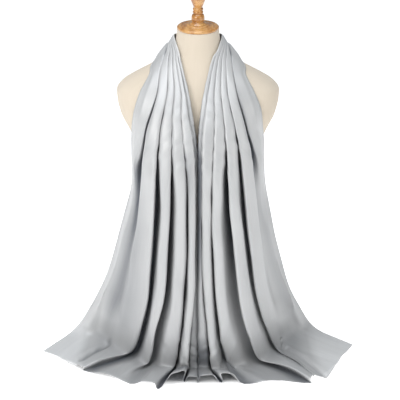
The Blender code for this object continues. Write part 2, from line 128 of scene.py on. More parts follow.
def gridMesh(name, points, uv=None, closed=False):
    # a mesh through rows of points; a closed one runs round and is shut at its ends
    rows, columns = points.shape[:2]
    faces = []
    lastColumn = columns if closed else columns - 1
    for row in range(rows - 1):
        for column in range(lastColumn):
            following = (column + 1) % columns
            a, b = row * columns + column, row * columns + following
            faces.append((a, b, b + columns, a + columns))
    if closed:
        faces.append(tuple(reversed(range(columns))))
        faces.append(tuple(range((rows - 1) * columns, rows * columns)))
    mesh = bpy.data.meshes.new(name)
    mesh.from_pydata([tuple(p) for p in points.reshape(-1, 3)], [], faces)
    mesh.shade_smooth()
    if uv is None:
        return mesh
    flat = uv.reshape(-1, 2)
    vertexOf = np.zeros(len(mesh.loops), np.int32)
    mesh.loops.foreach_get("vertex_index", vertexOf)
    corners = flat[vertexOf].astype(np.float32)
    if closed:                         # the last column's faces run on past the seam
        width = flat[columns - 1, 0] + (flat[1, 0] - flat[0, 0])
        for index, face in enumerate(faces[:-2]):
            if face[1] % columns == 0:
                corners[4 * index + 1:4 * index + 3, 0] = width
    mesh.uv_layers.new(name="UVMap").data.foreach_set("uv", corners.ravel())
    return mesh


def addPiece(name, mesh, material):
    piece = bpy.data.objects.new(name, mesh)
    mesh.materials.append(material)
    bpy.context.scene.collection.objects.link(piece)
    return piece


def newGroup(name, inputs, outputs):
    group = bpy.data.node_groups.new(name, "ShaderNodeTree")
    for label, kind, value in inputs:
        socket = group.interface.new_socket(name=label, in_out="INPUT", socket_type=kind)
        if value is not None:
            socket.default_value = value
    for label, kind in outputs:
        group.interface.new_socket(name=label, in_out="OUTPUT", socket_type=kind)
    return group, group.nodes.new("NodeGroupInput"), group.nodes.new("NodeGroupOutput")


def mathNode(tree, operation, first, second=None):
    node = tree.nodes.new("ShaderNodeMath")
    node.operation = operation
    for index, value in enumerate((first, second)):
        if value is None:
            continue
        if isinstance(value, (int, float)):
            node.inputs[index].default_value = value
        else:
            tree.links.new(value, node.inputs[index])
    return node.outputs[0]


def weightedSum(tree, first, firstWeight, second, secondWeight):
    return mathNode(tree, "ADD", mathNode(tree, "MULTIPLY", first, firstWeight),
                    mathNode(tree, "MULTIPLY", second, secondWeight))


def threadGroup():
    # fine threads both ways, a little uneven: Relief for bump, Tone for colour
    group, start, end = newGroup(
        "wovenThreads",
        (("Vector", "NodeSocketVector", None), ("Across", "NodeSocketFloat", 900.0),
         ("Along", "NodeSocketFloat", 300.0), ("Unevenness", "NodeSocketFloat", 0.4)),
        (("Relief", "NodeSocketFloat"), ("Tone", "NodeSocketFloat")))
    split = group.nodes.new("ShaderNodeSeparateXYZ")
    group.links.new(start.outputs["Vector"], split.inputs[0])
    slubs = group.nodes.new("ShaderNodeTexNoise")
    stretch = group.nodes.new("ShaderNodeMapping")
    stretch.inputs["Scale"].default_value = (260.0, 9.0, 1.0)
    group.links.new(start.outputs["Vector"], stretch.inputs[0])
    group.links.new(stretch.outputs[0], slubs.inputs["Vector"])
    slubs.inputs["Scale"].default_value = 1.0
    slubs.inputs["Detail"].default_value = 2.0
    waves = []
    for axis, label in enumerate(("Across", "Along")):
        phase = mathNode(group, "MULTIPLY", split.outputs[axis], start.outputs[label])
        waves.append(mathNode(group, "SINE", phase))
    weave = mathNode(group, "ADD", weightedSum(group, waves[0], 0.25, waves[1], 0.15), 0.5)
    uneven = mathNode(group, "MULTIPLY", mathNode(group, "SUBTRACT", slubs.outputs[0], 0.5),
                      start.outputs["Unevenness"])
    group.links.new(mathNode(group, "ADD", weave, uneven), end.inputs["Relief"])
    group.links.new(slubs.outputs[0], end.inputs["Tone"])
    return group


def cloudGroup():
    # broad, soft change of tone
    group, start, end = newGroup(
        "softClouds",
        (("Vector", "NodeSocketVector", None), ("Scale", "NodeSocketFloat", 10.0),
         ("Detail", "NodeSocketFloat", 2.0)),
        (("Tone", "NodeSocketFloat"),))
    noise = group.nodes.new("ShaderNodeTexNoise")
    group.links.new(start.outputs["Vector"], noise.inputs["Vector"])
    group.links.new(start.outputs["Scale"], noise.inputs["Scale"])
    group.links.new(start.outputs["Detail"], noise.inputs["Detail"])
    group.links.new(noise.outputs[0], end.inputs["Tone"])
    return group


wovenThreads = threadGroup()
softClouds = cloudGroup()


def newMaterial(name, roughness, **constants):
    material = bpy.data.materials.new(name)
    material.use_nodes = True
    tree = material.node_tree
    shader = tree.nodes["Principled BSDF"]
    shader.inputs["Roughness"].default_value = roughness
    for label, value in constants.items():
        shader.inputs[label.replace("_", " ")].default_value = value
    return material, tree, shader


def placeGroup(tree, group, vector, **values):
    node = tree.nodes.new("ShaderNodeGroup")
    node.node_tree = group
    tree.links.new(vector, node.inputs["Vector"])
    for label, value in values.items():
        node.inputs[label].default_value = value
    return node


def toneRamp(tree, source, stops):
    ramp = tree.nodes.new("ShaderNodeValToRGB")
    while len(ramp.color_ramp.elements) < len(stops):
        ramp.color_ramp.elements.new(0.5)
    for element, (position, colour) in zip(ramp.color_ramp.elements, stops):
        element.position = position
        element.color = (*colour, 1.0)
    tree.links.new(source, ramp.inputs[0])
    return ramp.outputs["Color"]


def tinted(tree, colour, tint, share):
    # the colour times a tint, as far as the share says
    mix = tree.nodes.new("ShaderNodeMix")
    mix.data_type = "RGBA"
    mix.blend_type = "MULTIPLY"
    tree.links.new(share, mix.inputs["Factor"])
    tree.links.new(colour, mix.inputs[6])
    mix.inputs[7].default_value = (*tint, 1.0)
    return mix.outputs[2]


def attributeValue(tree, name):
    node = tree.nodes.new("ShaderNodeAttribute")
    node.attribute_name = name
    return node.outputs["Fac"]


def addBump(tree, shader, height, strength, distance):
    bump = tree.nodes.new("ShaderNodeBump")
    bump.inputs["Strength"].default_value = strength
    bump.inputs["Distance"].default_value = distance
    tree.links.new(height, bump.inputs["Height"])
    tree.links.new(bump.outputs["Normal"], shader.inputs["Normal"])


satinLook = {
    "pale": (0.589, 0.588, 0.583),
    "deep": (0.529, 0.53, 0.531),
    "roughness": 0.42,
    "threadsAcross": 2.0 * math.pi / 0.0004,    # one thread each 0.4 mm
    "threadsAlong": 2.0 * math.pi / 0.0011,
    "threadTone": 0.35,                # share of the threads in the tone; the clouds have the rest
    "hemDepth": 0.006,                 # the turned hem, in metres from the edge
    "paintedHemHighlight": 0.14,                  # painted highlight: the hem band is made a little lighter
    "stitchPlace": 0.85,               # where the stitches run, as a share of the hem
    "stitchHalfWidth": 0.0005,
    "stitchShade": 0.25,
    "stitchTint": (0.55, 0.55, 0.58),
    "paintedShadeStrength": 0.9,                # how much darker the painted shade makes the cloth deep in the folds
    "paintedShadeTint": (0.085, 0.10, 0.135),
    "paintedShadePower": 1.4,
    "paintedLightStrength": 1.5,                 # painted light: how much lighter the cloth is where the painted value is negative
}
jerseyLook = {
    "pale": (0.74, 0.645, 0.525),
    "deep": (0.69, 0.595, 0.475),
    "roughness": 0.88,
    "wales": 2.0 * math.pi / 0.0016,
    "courses": 2.0 * math.pi / 0.0013,
}
woodLook = {
    "light": (0.68, 0.37, 0.125),
    "middle": (0.52, 0.235, 0.06),
    "dark": (0.30, 0.11, 0.022),
    "roughness": 0.27,
    "grainStretch": (1.0, 0.16, 1.0),
    "grainTurn": math.radians(14.0),
}


def satinMaterial():
    material, tree, shader = newMaterial(
        "silverSatin", satinLook["roughness"], Metallic=0.2, Sheen_Weight=0.08, Sheen_Roughness=0.4,
        Specular_IOR_Level=0.5)
    uv = tree.nodes.new("ShaderNodeUVMap")
    threads = placeGroup(tree, wovenThreads, uv.outputs[0], Across=satinLook["threadsAcross"],
                         Along=satinLook["threadsAlong"], Unevenness=0.5)
    clouds = placeGroup(tree, softClouds, uv.outputs[0], Scale=7.0, Detail=2.0)
    tone = weightedSum(tree, threads.outputs["Tone"], satinLook["threadTone"],
                       clouds.outputs["Tone"], 1.0 - satinLook["threadTone"])
    colour = toneRamp(tree, tone, ((0.32, satinLook["deep"]), (0.68, satinLook["pale"])))
    fromEdge = attributeValue(tree, "hemDistance")
    onHem = mathNode(tree, "LESS_THAN", fromEdge, satinLook["hemDepth"])
    fromStitch = mathNode(tree, "SUBTRACT", fromEdge, satinLook["hemDepth"] * satinLook["stitchPlace"])
    stitchLine = mathNode(tree, "LESS_THAN", mathNode(tree, "ABSOLUTE", fromStitch),
                          satinLook["stitchHalfWidth"])
    colour = tinted(tree, colour, satinLook["stitchTint"],
                    mathNode(tree, "MULTIPLY", stitchLine, satinLook["stitchShade"]))
    paintedShading = attributeValue(tree, "paintedFoldShading")    # painted shade and light: darker where less light comes down into the folds, lighter where it is negative
    # painted light: where the value is negative the cloth's colour is made lighter
    glow = mathNode(tree, "MULTIPLY", paintedShading, -satinLook["paintedLightStrength"])
    inLight = mathNode(tree, "MAXIMUM", glow, 0.0)
    # painted highlight along the hem band
    paintedHemHighlight = mathNode(tree, "MULTIPLY", onHem, satinLook["paintedHemHighlight"])
    lighter = tree.nodes.new("ShaderNodeVectorMath")
    lighter.operation = "SCALE"
    tree.links.new(colour, lighter.inputs[0])
    light = mathNode(tree, "ADD", mathNode(tree, "ADD", inLight, paintedHemHighlight), 1.0)
    tree.links.new(light, lighter.inputs["Scale"])
    # painted shade: the colour is darkened and turned bluish
    inShade = mathNode(tree, "POWER", mathNode(tree, "MAXIMUM", paintedShading, 0.0), satinLook["paintedShadePower"])
    colour = tinted(tree, lighter.outputs[0], satinLook["paintedShadeTint"],
                    mathNode(tree, "MULTIPLY", inShade, satinLook["paintedShadeStrength"]))
    tree.links.new(colour, shader.inputs["Base Color"])
    rough = mathNode(tree, "ADD", mathNode(tree, "MULTIPLY", threads.outputs["Tone"], 0.10),
                     satinLook["roughness"] - 0.05)
    tree.links.new(rough, shader.inputs["Roughness"])
    relief = weightedSum(tree, threads.outputs["Relief"], 0.12, onHem, 1.0)
    relief = mathNode(tree, "SUBTRACT", relief, mathNode(tree, "MULTIPLY", stitchLine, 0.8))
    addBump(tree, shader, relief, 0.5, 0.0004)
    return material


def jerseyMaterial():
    material, tree, shader = newMaterial("creamJersey", jerseyLook["roughness"], Sheen_Weight=0.2,
                                         Sheen_Roughness=0.5)
    uv = tree.nodes.new("ShaderNodeUVMap")
    knit = placeGroup(tree, wovenThreads, uv.outputs[0], Across=jerseyLook["wales"],
                      Along=jerseyLook["courses"], Unevenness=0.8)
    clouds = placeGroup(tree, softClouds, uv.outputs[0], Scale=5.0, Detail=3.0)
    tone = weightedSum(tree, knit.outputs["Tone"], 0.3, clouds.outputs["Tone"], 0.7)
    colour = toneRamp(tree, tone, ((0.3, jerseyLook["deep"]), (0.7, jerseyLook["pale"])))
    tree.links.new(colour, shader.inputs["Base Color"])
    addBump(tree, shader, knit.outputs["Relief"], 0.5, 0.0003)
    return material


def woodMaterial():
    material, tree, shader = newMaterial("varnishedWood", woodLook["roughness"], Coat_Weight=0.7,
                                         Coat_Roughness=0.12)
    place = tree.nodes.new("ShaderNodeTexCoord")
    stretch = tree.nodes.new("ShaderNodeMapping")
    stretch.inputs["Scale"].default_value = woodLook["grainStretch"]
    stretch.inputs["Rotation"].default_value = (0.0, 0.0, woodLook["grainTurn"])
    tree.links.new(place.outputs["Object"], stretch.inputs[0])
    broad = placeGroup(tree, softClouds, stretch.outputs[0], Scale=75.0, Detail=3.0)
    fine = placeGroup(tree, softClouds, stretch.outputs[0], Scale=420.0, Detail=2.0)
    tone = weightedSum(tree, broad.outputs["Tone"], 0.75, fine.outputs["Tone"], 0.25)
    colour = toneRamp(tree, tone, ((0.34, woodLook["dark"]), (0.47, woodLook["middle"]),
                                   (0.60, woodLook["light"])))
    tree.links.new(colour, shader.inputs["Base Color"])
    addBump(tree, shader, fine.outputs["Tone"], 0.15, 0.0003)
    return material


def buildForm(material):
    sides = formShape["sides"]
    top = formShape["neckTop"][2]
    turn = 2.0 * math.pi
    share = np.linspace(0.0, 1.0, formShape["rings"])
    heights = top * (share + formShape["closer"] * np.sin(turn * share) / turn)
    angles = [turn * side / sides for side in range(sides)]
    for seam in formShape["seams"]:
        angles += [seam + offset for offset in formShape["besideSeam"]]
    angles = sorted(angle % turn for angle in angles)
    points, uv = [], []
    rise = 0.0
    for height in heights:
        ring = np.array([formPoint(height, angle) for angle in angles])
        for column, angle in enumerate(angles):
            for seam in formShape["seams"]:
                away = (angle - seam + math.pi) % turn - math.pi
                off = abs(away) * np.linalg.norm(ring[column, :2])
                sink = formShape["seamDepth"] * math.exp(-(off / formShape["seamWidth"]) ** 2)
                ring[column, :2] *= 1.0 - sink / np.linalg.norm(ring[column, :2])
        if height == heights[-1]:      # the neck's cut leans
            ring[:, 2] = top + math.tan(formShape["neckLean"]) * (ring[:, 1] - formShape["neckTop"][1])
        if points:
            rise += np.linalg.norm(ring - points[-1], axis=1).mean()
        points.append(ring)
        uv.append([(formShape["uvRadius"] * angle, rise * mm) for angle in angles])
    mesh = gridMesh("formCover", np.array(points) * mm, closed=True, uv=np.array(uv))
    mesh.set_sharp_from_angle(angle=formShape["sharpAngle"])
    piece = addPiece("formCover", mesh, material)
    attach(piece, "root")
    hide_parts("dress_form_torso")
    return piece


turnedWood = {
    # radius, height above the neck's cut, in millimetres, from the top down
    "cap": (
        (22, 9.6), (23.8, 8.6), (24.4, 7.2), (33, 7), (34.2, 6.2), (35.4, 7),
        (40.6, 6.6), (43.2, 4.6), (43.6, 2.6), (42.6, 0.3),
    ),
    "finial": (
        (6, 104.4), (11.6, 99), (15.6, 90.5), (17.4, 80), (16.8, 69),
        (14.4, 59), (11.2, 50), (8.8, 44.6), (10.6, 43), (11, 40.6), (9.6, 38.4),
        (10.9, 36.2), (11, 34), (9.4, 32), (12, 29.6), (13.6, 25), (13.7, 20),
        (12.4, 15.6), (13.4, 13.4), (17, 11), (18, 9.9),
    ),
    "steps": 96,
    "edgeRounding": 0.0005,
    "roundingSteps": 3,
    "sharpAngle": math.radians(35.0),
}


def buildTurned(name, profile, material, node):
    angles = np.linspace(0.0, 2.0 * math.pi, turnedWood["steps"], endpoint=False)
    lean = formShape["neckLean"]
    rings = []
    for radius, height in reversed(profile):
        x, y = radius * np.cos(angles), radius * np.sin(angles)
        leaned = (x, y * math.cos(lean) - height * math.sin(lean),
                  y * math.sin(lean) + height * math.cos(lean))
        rings.append(np.array(formShape["neckTop"]) + np.stack(leaned, axis=-1))
    mesh = gridMesh(name, np.array(rings) * mm, closed=True)
    mesh.set_sharp_from_angle(angle=turnedWood["sharpAngle"])
    piece = addPiece(name, mesh, material)
    bevel = piece.modifiers.new("edge rounding", "BEVEL")
    bevel.width = turnedWood["edgeRounding"]
    bevel.segments = turnedWood["roundingSteps"]
    bevel.limit_method = "ANGLE"
    bevel.angle_limit = turnedWood["sharpAngle"]
    bevel.harden_normals = True
    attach(piece, "root")
    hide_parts(node)
    return piece


neckCloth = (
    # row, then the cloth in each fold, outer to inner, in millimetres; the same on both sides
    (0, 11, 13, 13, 13, 13, 10), (1, 14, 13, 12, 11.5, 11, 9.5),
    (2, 33, 9.5, 7.8, 6.6, 6, 5.8), (3, 49, 5.6, 4.6, 4.2, 4.2, 4.4),
    (4, 55, 4.9, 3.9, 4, 3.9, 4.1), (5, 46.4, 14, 9.5, 8, 6.5, 6),
)

# A side has six folds between seven guide lines: the outer edge, five valleys and
# the inner edge. Every row is one section across them, in millimetres.
scarfGuides = {
    "lines": 7,
    "chestGap": 3.4,                   # from the form to the guides, then to any of the cloth
    "clearGap": 1.5,
    "clearRow": 13,                    # row from which the cloth hangs free of the form
    "floorGap": 0.6,
    "neck": (
        # angle round the form, heights and gaps to the form; one number does for all the guides
        (90, (646, 655, 663.5, 671.5, 679, 686.5, 694), 2.6),
        (67.5, (648, 657, 665.5, 673.5, 681, 688, 695), 2.6),
        (45, (649, 673, 679.5, 685, 689.5, 693.5, 697.5), (2.6, 5, 5.5, 5, 4.5, 3.5, 2.6)),
        (22.5, (647, 684, 688.5, 692, 695, 698, 701), (2.6, 10, 9.5, 8.5, 7, 5.5, 3)),
        (0, (643, 685, 688.5, 691.5, 694.5, 697, 699.5), (2.6, 13, 11.5, 10, 8.5, 6.5, 4)),
        ((-20, -20, -29, -34, -38, -41, -43), (637, 669, 671.5, 673.5, 675, 676.5, 678),
         (2, 13.5, 10, 8, 6, 5, 3)),
    ),
    "left": {
        "sign": -1,                    # of x
        "chest": (
            # height, distances to the side
            ((628, 641, 646, 650, 654, 657, 660), (101, 75, 59.5, 50, 43, 38, 34.5)),
            (600, (118, 81, 62, 47.5, 34, 25, 18.5)),
            (566, (130, 92, 71, 53, 35, 20.5, 12)),
            (530, (137, 104, 79, 55, 34, 13.5, 6)),
        ),
        "hanging": (
            # height, distances to the side, distances to the front
            (490, (141, 110, 82, 56, 30, 9, 1.4), (40, 88, 103, 110, 112.5, 113, 112.5)),
            (440, (143, 113, 84, 57, 28, 8, 0.4), (10, 84, 107.5, 114, 116.5, 116.5, 115.5)),
            (360, (148, 121, 87, 60, 28, 8, 0.4), (-6, 82, 112, 118.5, 121, 121, 119)),
            (260, (174, 143, 96, 66, 29, 9, 0.4), (-10, 78, 114, 122, 125, 125, 123)),
            (180, (196, 162, 103, 72, 34, 11, 0.4), (-12, 66, 112, 125, 128, 128, 126)),
            (110, (225, 182, 113, 88, 39, 18, 0.4), (-16, 46, 107, 124, 131, 131, 129)),
            (50, (255, 202, 126, 98, 46, 22, 0.4), (-20, 20, 98, 122, 134, 135, 133)),
        ),
        "floor": (
            # distances to the side, distances to the front
            ((286, 217, 141, 106, 50, 23, 0.4), (-24, 4, 90, 122, 140, 143, 138)),
            ((320, 243, 190, 122, 64, 25, 0.4), (29, 64, 119, 160, 182, 172, 176)),
            ((347, 269, 247, 144, 82, 30, 0.4), (73, 138, 160, 216, 236, 207, 211)),
        ),
        "cloth": neckCloth + (
            (6, 31.5, 30, 26, 24, 20, 14), (7, 44.5, 46, 44, 42, 38, 24),
            (8, 48, 66, 64, 64, 60, 35), (9, 50, 90, 86, 88, 86, 47),
            (10, 74, 112, 106, 110, 108, 57), (11, 98, 130, 121, 128, 128, 65),
            (13, 97, 142, 130, 138, 138, 68), (15, 98, 154, 118, 130, 132, 62),
            (16, 88, 160, 104, 112, 114, 50), (17, 78, 142, 92, 94, 90, 44),
            (18, 86, 104, 92, 88, 92, 48), (19, 102, 44, 120, 78, 104, 54),
        ),
    },
    "right": {
        "sign": 1,
        "chest": (
            ((628, 641, 646, 650, 654, 657, 660), (99, 69, 56, 46.5, 38.5, 32, 27.5)),
            (600, (115, 77, 59, 46, 33, 20, 11.5)),
            (566, (129, 88, 69, 52, 35, 15, 5.5)),
            (530, (134, 98, 78, 57, 35, 10.5, 1.6)),
        ),
        "hanging": (
            (490, (139, 106, 84, 61, 34, 9.5, 0.4), (42, 90, 103, 109.5, 112.5, 113.5, 112.5)),
            (440, (142, 112, 88, 63, 33, 10, 0.4), (12, 86, 107, 114, 116.5, 116.5, 115.5)),
            (360, (150, 121, 96, 68, 33, 10, 0.4), (-4, 84, 110, 118.5, 121, 121, 119)),
            (260, (169, 137, 108, 78, 36, 11, 0.4), (-8, 76, 108, 121, 125, 125, 123)),
            (180, (189, 155, 120, 86, 41, 15, 0.4), (-12, 62, 104, 122, 128, 128, 126)),
            (110, (211, 174, 136, 100, 47, 22, 0.4), (-18, 44, 92, 119, 131, 131, 129)),
            (50, (240, 190, 156, 120, 52, 27, 0.4), (-28, 24, 74, 114, 134, 135, 133)),
        ),
        "floor": (
            ((270, 205, 170, 132, 57, 29, 0.4), (-34, 12, 60, 108, 140, 143, 138)),
            ((311, 238, 206, 189, 72, 37, 0.4), (5, 103, 105, 147, 178, 180, 176)),
            ((351, 275, 250, 238, 98, 50, 0.4), (43, 193, 178, 212, 216, 210, 211)),
        ),
        "cloth": neckCloth + (
            (6, 35, 27, 25, 24, 20, 14), (7, 44.5, 43, 44, 44, 40, 28),
            (8, 51, 60, 64, 64, 62, 45), (9, 53, 82, 90, 90, 88, 64),
            (10, 75, 101, 109, 111, 106, 83), (11, 97, 116, 126, 126, 119, 101),
            (13, 94, 124, 138, 138, 126, 108), (15, 98, 118, 134, 132, 122, 96),
            (16, 98, 106, 126, 118, 104, 76), (17, 90, 86, 112, 100, 78, 56),
            (18, 124, 46, 96, 124, 84, 66), (19, 169, 36, 54, 142, 86, 76),
        ),
    },
}

foldShape = {
    # lean towards the outer edge in degrees, how far the folds' edges are pressed together,
    # and how much more than the cloth's own normal the folds face the front
    "rows": (
        (20, 0.6, 0), (20, 0.6, 0), (20, 0.6, 0), (20, 0.6, 0), (16, 0.8, 0),
        (10, 1, 0), (4, 1, 0.5), (0, 1, 1.5), (-4, 1, 2.5), (-6, 1, 3.5),
        (-6, 1, 4), (-6, 1, 4), (-6, 1, 4), (-6, 1, 4), (-6, 1, 4),
        (-8, 0.95, 3.5), (-10, 0.95, 3), (-14, 0.9, 2), (-18, 0.9, 0.6), (-16, 0.9, 0.2),
    ),
    "leanShares": (0.0, 1.0, 1.0, 0.8, 0.4, 0.0),
    "flapFront": ((0, 0), (8, 0), (9, 0.2), (10, 0.6), (11, 0.9), (12, 0.9), (13, 0.5),
                  (14, 0.2), (16, 0), (19, 0)),    # the same for the outer flap, by row
    "overhang": 0.07,                  # share of the pitch that a pressed edge hangs over its valley
    "secondFold": ((0, 0.03), (9, 0.06), (10, 0.09), (11, 0.05), (12, 0.02), (13, -0.05),
                   (14, -0.15), (19, -0.15)),    # how far the second fold hangs over the flap, by row
    "flapCorner": 0.45,                # the outer flap is a plain arch
    "flapEdge": ((0, 0.3), (5, 0.12), (6, 0.06), (10, 0.06), (11, 0.12), (12, 0.2),
                 (13, 0.34), (15, 0.4), (19, 0.32)),    # where its inner edge turns down, by row
    "gentleCorner": 0.32,              # where a shallow fold's crest begins, as a share of the pitch
    "crestInset": 0.14,                # from a crest's corner to where it is flat
    "cornerHeight": 0.90,              # height of that corner, and of the flank below it
    "flankHeight": 0.38,
    "flankShare": 0.75,                # how far out the flank is, as a share of the corner
    "narrowest": 0.04,
    "roundedOff": 0.12,                # share of the spare length that the spline cuts off
    "halvings": 24,                    # steps in the search for a fold's depth
    "controls": 7,                     # control points of one fold, and points between them
    "spanSteps": (2, 2, 3, 4, 3, 2, 2),
    "rowStep": 0.25,                   # rows either way to the neighbours that give the slope
    "lowPaintedShade": ((0, 0), (11, 0), (12.5, 0.16), (14, 0.24), (16.5, 0.32), (17.5, 0.24),
                (19, 0.05)),           # painted shade, as less light comes down to the floor, by row
    "meetingPaintedShades": (1.0, 0.9, 0.6, 0.45, 0.3),    # painted shade back from the inner edge, where the sides meet
}

openValleys = {
    # row, then the share of the pitch that each valley stands open, outer to inner
    "left": (
        (0, 0.1, 0.1, 0.1, 0.1, 0.1), (5, 0.06, 0.06, 0.06, 0.06, 0.06),
        (7, -0.02, -0.04, -0.04, -0.04, -0.04), (9.5, -0.02, -0.03, -0.02, -0.02, -0.02),
        (10.5, 0.14, 0.03, 0.03, 0.08, 0), (11, 0.26, 0.12, 0.12, 0.2, 0.02),
        (12, 0.36, 0.26, 0.24, 0.26, 0.05), (14, 0.6, 0.28, 0.26, 0.26, 0.05),
        (16, 0.6, 0.3, 0.28, 0.25, 0.1), (19, 0.5, 0.3, 0.3, 0.3, 0.2),
    ),
    "right": (
        (0, 0.1, 0.1, 0.1, 0.1, 0.1), (5, 0.06, 0.06, 0.06, 0.06, 0.06),
        (7, -0.02, -0.04, -0.04, -0.04, -0.04), (9, -0.02, -0.02, -0.02, -0.03, -0.02),
        (10, 0.12, 0.02, 0.06, -0.02, 0), (11, 0.3, 0.1, 0.22, 0.02, 0.02),
        (12, 0.45, 0.14, 0.34, 0.08, 0.03), (14, 0.6, 0.16, 0.4, 0.22, 0.05),
        (16, 0.6, 0.2, 0.36, 0.28, 0.1), (19, 0.5, 0.3, 0.3, 0.3, 0.2),
    ),
}

valleyShade = {
    # row, then the painted shade of the cloth down in each valley, outer to inner, and at the inner edge
    "left": (
        (0, 0.3, 0.3, 0.3, 0.3, 0.3, 0), (4, 0.3, 0.3, 0.3, 0.3, 0.3, 0),
        (5, 0.9, 0.6, 0.6, 0.6, 0.6, 0), (7, 1, 0.9, 0.8, 0.8, 0.7, 0.1),
        (9.5, 1.1, 0.95, 0.8, 0.8, 0.7, 0.2), (10.5, 1.3, 1.1, 0.8, 1.2, 0.9, 0.4),
        (11.6, 1.8, 1.3, 1, 1.2, 1, 0.4), (12.3, 1.3, 1.3, 1, 0.95, 0.9, 0.3),
        (13, 0.9, 1.3, 1, 0.85, 0.9, 0.3), (15, 0.75, 1.3, 0.8, 0.9, 0.9, 0.3),
        (16, 0.4, 1.2, 0.7, 0.9, 0.8, 0.4),
        (17, 0.1, 1, 0.7, 1, 0.9, 0.5), (18, 0.05, 1, 0.6, 1, 1, 0.7),
        (19, 0, 0.9, 0.5, 1, 1, 0.8),
    ),
    "right": (
        (0, 0.3, 0.3, 0.3, 0.3, 0.3, 0), (4, 0.3, 0.3, 0.3, 0.3, 0.3, 0),
        (5, 1, 0.8, 0.6, 0.6, 0.6, 0), (7, 1, 1, 0.8, 0.8, 0.7, 0.1),
        (9.5, 1.3, 1, 0.9, 0.8, 0.7, 0.9), (10.3, 1.5, 1.2, 1.2, 0.7, 0.9, 1.8),
        (11.5, 0.6, 1.3, 1.4, 0.8, 1, 1.8), (12.5, 0.3, 1.1, 1.1, 1.1, 0.9, 1.7),
        (14, 0.1, 0.55, 0.6, 1, 0.8, 0.6), (15.5, 0.06, 0.4, 0.45, 0.8, 0.8, 0.6),
        (17, 0.04, 0.5, 0.9, 0.7, 0.9, 0.9), (18, 0, 0.5, 1, 0.8, 1, 0.9),
        (19, 0, 0.4, 0.9, 0.8, 1, 0.9),
    ),
}

foldPaintedShades = (
    # broad painted shade within a fold: side, fold, its first and last control, then row and shade
    ("right", 0, 0, 6, ((8, 0), (9, 0.06), (11, 0.16), (12.5, 0.44), (15.5, 0.44), (17, 0.12),
                        (19, 0))),
    ("left", 0, 4, 6, ((10.3, 0), (11.2, 0.8), (12.2, 0.55), (13, 0.38), (15, 0.25), (16.3, 0))),
    ("left", 1, 0, 3, ((11, 0), (12, 0.34), (13, 0.56), (15, 0.56), (16.3, 0.15), (17, 0))),
    ("left", 4, 1, 3, ((9.5, 0), (10.3, 0.62), (11, 0.58), (12, 0.36), (13.5, 0.15), (15, 0))),
    ("left", 4, 1, 5, ((17.2, 0), (17.7, 0.9), (18.6, 1), (19, 0.2))),
    ("right", 4, 2, 5, ((17.8, 0), (18.2, 0.8), (18.7, 0.9), (19, 0.2))),
    ("right", 5, 0, 6, ((15.2, 0), (15.8, 0.9), (16.6, 1), (17.2, 0.4), (18, 0.2), (19, 0.2))),
    ("right", 2, 1, 3, ((12.5, 0), (13.5, 0.3), (15, 0.3), (16.5, 0))),
)

clothSheet = {
    "flat": (0.70, 1.80),              # the satin as it was cut, in metres
    "wall": 0.0006,
    "hangingRows": 106,
    "floorRows": 100,
    "hemRows": (0.06, 0.04, 0.02),     # rows just before the hem, counted back from it
    "contactFrom": 15.6,               # row from which the bend to the floor is rounded
    "bendRounds": 400,                 # rounds of evening out along the cloth there
    "troughRounds": 40,                # and across it, in these columns from the outer edge
    "troughColumns": 26,
    "troughFade": 8.0,                 # columns over which that stops
    "troughLead": 6,                   # rows above the bend at which that starts,
    "troughRise": 12.0,                # and rows over which it grows to full
    "nearFloor": 50.0,                 # height in millimetres below which ridges and hollows show
    "keptHeight": 0.4,                 # share of the height under a ridge that still counts
    "undercutReach": 2.6,              # how far a ridge is undercut, in near widths
    "fullRidge": 30.0,                 # height from which a ridge is undercut in full
    "floorShade": 0.42,                # painted shade of the cloth that lies in front, up to this height,
    "shadeHeight": 26.0,
    "shadeEnd": (265.0, 50.0),         # out to here at the side, fading over the second length
    "floorGlow": 0.3,                  # and painted light, for the lighter cloth at the sides
    "glowHeight": 40.0,
    "glowStart": (225.0, 45.0),
    "rippleRise": (260.0, 0.3),        # length over which ripples grow, and its share before they start
    "ripples": (
        # wave across the width, wave along the length (metres), height (mm), phase
        (0.055, 0.42, 0.55, 0.3), (0.034, 0.23, 0.35, 1.9), (0.090, 0.13, 0.45, 4.1),
        (0.021, 0.31, 0.18, 2.7),
    ),
}

floorCreases = (
    # far width, near width, undercut, painted shade beneath, then the ridge's points: to the side,
    # to the front, height, all in millimetres; its drop is on the right of the way it runs
    (9, 7, 6, 0.8, ((18, 47, 60), (22, 68, 46), (35, 106, 36), (54, 145, 28), (82, 198, 14))),
    (9, 7, 6, 0.7, ((29, 58, 36), (42, 119, 26), (56, 180, 18), (62, 210, 10))),
    (24, 18, 0, 0.1, ((63, 47, 44), (55, 89, 32), (68, 112, 22), (91, 156, 10))),
)

floorHollows = (
    # width on the right and on the left, depth, painted shade, then points to the side and front
    (7, 18, 8, 0.85, ((-192, 42), (-210, 62), (-236, 88), (-254, 114))),
    (16, 5, 14, 0.45, ((196, 70), (226, 104), (252, 150), (270, 190))),
)


def rowCurve(rows, position, mirror=1.0):
    # Catmull-Rom through rows of values; before the first row it is their mirror
    last = len(rows) - 1
    row = min(max(int(math.floor(position)), 0), last - 1)
    u = position - row
    start, end = rows[row], rows[row + 1]
    before = rows[row - 1] if row > 0 else end * mirror
    after = rows[row + 2] if row + 2 <= last else 2.0 * end - start
    square = 2.0 * before - 5.0 * start + 4.0 * end - after
    cube = 3.0 * (start - end) + after - before
    return 0.5 * (2.0 * start + (end - before) * u + square * u ** 2 + cube * u ** 3)


def perGuide(values):
    return np.broadcast_to(np.asarray(values, dtype=float), scarfGuides["lines"])


